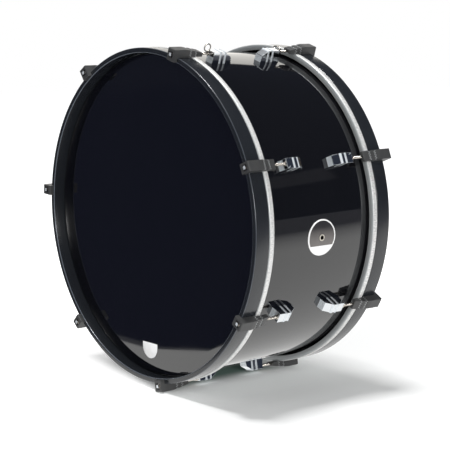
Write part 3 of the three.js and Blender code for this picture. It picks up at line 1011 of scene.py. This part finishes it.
# The carrying eyes: nickel-plated rings brazed to short collars on the second station's rods, for
# the hooks of a sling. The front one stands up, the rear one has fallen to the far side.
eye_station = 1
eye_ring = 7.7
eye_wire = 1.3
eye_collar = 4.8
eye_collar_length = 6.5
eye_from_lug = 0.75
eye_bore = rod_thread + gap
eye_collar_start = lug_outer + nut_proud + gap
eye_collar_end = eye_collar_start + eye_collar_length
eye_middle = lug_outer + eye_from_lug + eye_wire + eye_ring
eye_offset = eye_bore + eye_wire + eye_ring
eye_leans = {"front": 0, "rear": math.radians(-75)}
ring_steps = 56
wire_steps = 16
ring_points = [
    (eye_wire * math.sin(b),
     eye_middle + (eye_ring + eye_wire * math.cos(b)) * math.cos(a),
     eye_offset + (eye_ring + eye_wire * math.cos(b)) * math.sin(a))
    for a in angles_round(ring_steps) for b in angles_round(wire_steps)
]
eye_mesh = together(
    "carrying_eye",
    mesh_from("eye_ring", ring_points, grid_faces(ring_steps, wire_steps), 80),
    turned("eye_collar", outline(
        (eye_bore, eye_collar_start, 0.3), (eye_collar, eye_collar_start, 0.6),
        (eye_collar, eye_collar_end, 0.6), (eye_bore, eye_collar_end, 0.3)), nut_segments),
)
smoothed(eye_mesh, 50)
for end_name, end in ends:
    leaning = on_rod_axis(eye_mesh.copy(), eye_leans[end_name])
    leaning.name = f"{end_name}_eye"
    eye = piece(f"sling_eye_{end_name}", leaning, f"{end_name}_eye", nickel)
    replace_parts(at_station(eye, eye_station, end), f"{end_name}_carrying_eye")

# The studio: a white sheet under the drum, with dark to its front and right that the lacquer
# mirrors, white walls at the left, a pale wall in front, and softboxes overhead and in front. The
# floor adds a light that only the camera sees, which thins and trims the shadow on the sheet.
dark_wall = (0.028, 0.033, 0.047, 1)
dark_floor = (0.036, 0.041, 0.068, 1)
white_sheet = (1.05, 1.05, 1.04, 1)
sheet_front = -0.345
sheet_bulge = 0.11
sheet_edge = 0.004
sheet_fold = 0.03
sheet_fold_light = 0.13
sheet_bright_to = 1.0
sheet_dark_from = 2.1
floor_reach = 9


def grey(level):
    """A grey of this much linear light."""
    return level, level, level, 1


def rays(finish):
    """Whether a ray comes from the camera, and whether from a mirror or through a glass."""
    path = finish.node("ShaderNodeLightPath", output="Is Camera Ray")
    return path, path.out("Is Glossy Ray").maths("MAXIMUM", path.out("Is Transmission Ray"))


ground = Finish("studio_floor", Roughness=0.9, Specular_IOR_Level=0)
ground_x, ground_y, _ = ground.node("ShaderNodeNewGeometry", output="Position").axes()
distance = (ground_x * ground_x + ground_y * ground_y) ** 0.5
to_camera, mirrored = rays(ground)
sheet_light = (sheet_dark_from - ground_x).between(0, sheet_dark_from - sheet_bright_to, "LINEAR")
past_front = ground_y - (sheet_front - sheet_bulge * ground_x.between(-0.3, -0.12))
fold = sheet_fold_light * past_front.between(-sheet_fold - sheet_edge, sheet_edge - sheet_fold)
on_sheet = fold.maths("MAXIMUM", past_front.between(-sheet_edge, sheet_edge) * sheet_light)
off_axis = abs(ground_x).maths("MAXIMUM", abs(ground_y) - 0.09)
# Painted shadow: to the camera, the floor right under the drum is coloured a dark green-grey, as
# the shadow where the drum meets the floor.
seen_colour_with_painted_shadow = ground.mix(off_axis.between(0.01, 0.07), (0.22, 0.32, 0.28, 1), grey(0.86))
before_shadow = -0.145 - 0.2 * ground_x - ground_y
front_left = before_shadow.between(0, 0.045) * (0.08 - ground_x).between(0, 0.1)
seen = grey(0)
for place, light in (
    (off_axis.between(0.02, 0.11), (0.202, 0.214, 0.21, 1)),
    (off_axis.between(0.1, 0.26), (0.068, 0.075, 0.073, 1)),
    ((0 - ground_x).between(0.12, 0.34), grey(0.5)),
    ((0 - ground_x).between(0.29, 0.33), grey(0.75)),
    (front_left, grey(0.75)),
    (distance.between(0.6, 1.6), grey(0.7)),
):
    seen = ground.mix(place, seen, light)
mirror_image = ground.mix(on_sheet, dark_floor, white_sheet)
ground.set(
    Base_Color=ground.mix(to_camera, ground.mix(mirrored, grey(0.9), grey(0)), seen_colour_with_painted_shadow),
    Emission_Color=ground.mix(to_camera, ground.mix(mirrored, grey(0), mirror_image), seen),
    Emission_Strength=1,
)

floor_mesh = bpy.data.meshes.new("studio_floor")
floor_corners = [(sx * floor_reach, sy * floor_reach, cad_low.z) for sx, sy in square_corners]
floor_mesh.from_pydata(floor_corners, [], [(0, 1, 2, 3)])
placed("studio_floor", dressed(floor_mesh, ground))


def softbox(name, place, size, power):
    """A square area lamp at a place, turned to light the drum. The camera doesn't see it."""
    lamp = bpy.data.lights.new(name, "AREA")
    lamp.shape, lamp.size, lamp.energy = "SQUARE", size, power
    made = placed(name, lamp)
    towards_drum = (-Vector(place)).to_track_quat("-Z", "Y").to_matrix().to_4x4()
    made.matrix_world = Matrix.Translation(place) @ towards_drum
    made.visible_camera = False


softbox("overhead_softbox", (0.02, -0.3, 4), 0.75, 135)
softbox("front_softbox", (2.9, -1.1, 0.5), 0.6, 30)

world = bpy.context.scene.world or bpy.data.worlds.new("studio")
bpy.context.scene.world = world
world.use_nodes = True


class Surroundings(Finish):
    """The studio's walls, which the drum mirrors and the camera sees as white."""

    def __init__(self, tree):
        self.tree = tree
        self.shader = tree.nodes["Background"]


walls = Surroundings(world.node_tree)
way_x, way_y, way_z = walls.node("ShaderNodeTexCoord", output="Generated").axes()
bearing_way = way_y.maths("ARCTAN2", way_x) * math.degrees(1)
height_way = way_z.maths("ARCSINE") * math.degrees(1)


def within(way, low, high, soft):
    """1 between two values and 0 outside, with soft ends."""
    return way.between(low - soft, low + soft) * (1 - way.between(high - soft, high + soft))


def patch(left, right, low, high, soft=0.6):
    """A patch of the surroundings between two bearings and two heights, in degrees."""
    return within(bearing_way, left, right, soft) * within(height_way, low, high, soft)


backdrop_light = 1.3 + 0.25 * height_way.between(11, 28, "LINEAR")
backdrop = walls.node(
    "ShaderNodeVectorMath", {"operation": "SCALE"},
    {0: (1, 0.975, 0.925), "Scale": backdrop_light})
studio = dark_wall
for place, light in (
    (patch(-165, -115, -30, 10, 5), (0.045, 0.051, 0.078, 1)),
    (patch(36, 50, 15.5, 22), (0.09, 0.095, 0.11, 1)),
    (patch(75, 100, 5, 20, 3), (0.15, 0.125, 0.1, 1)),
    (patch(-95, -5, -10, 16, 4), grey(0.9)),
    (patch(125, 155, -20, 31.6), backdrop),
    (patch(155, 185, -20, 40, 3), grey(1)),
    (patch(-185, -168, -20, 40, 3), grey(1)),
    (height_way.between(58, 66), grey(1.1)),
):
    studio = walls.mix(place, studio, light)
wall_to_camera, wall_mirrored = rays(walls)
plain = walls.mix(patch(-110, 20, -30, 60, 10), grey(0.3), grey(0.95))
walls.set(
    Color=walls.mix(wall_to_camera, walls.mix(wall_mirrored, plain, studio), grey(1)),
    Strength=1,
)

camera_place = Vector((2.42753, -2.01051, 0.42920))
camera_back = Vector((0.756687, -0.637409, 0.145379))
camera_right = Vector((0.644253, 0.764812, 0))
photo_side = 450
focal_pixels = 1495.5
camera_data = bpy.data.cameras.new("camera")
camera_data.sensor_width = 36
camera_data.lens = focal_pixels / photo_side * camera_data.sensor_width
camera = placed("camera", camera_data)
camera_up = camera_back.cross(camera_right)
camera.matrix_world = Matrix.Translation(camera_place) @ Matrix(
    (camera_right, camera_up, camera_back)).transposed().to_4x4()
bpy.context.scene.camera = camera
bpy.context.scene.view_settings.view_transform = "Standard"
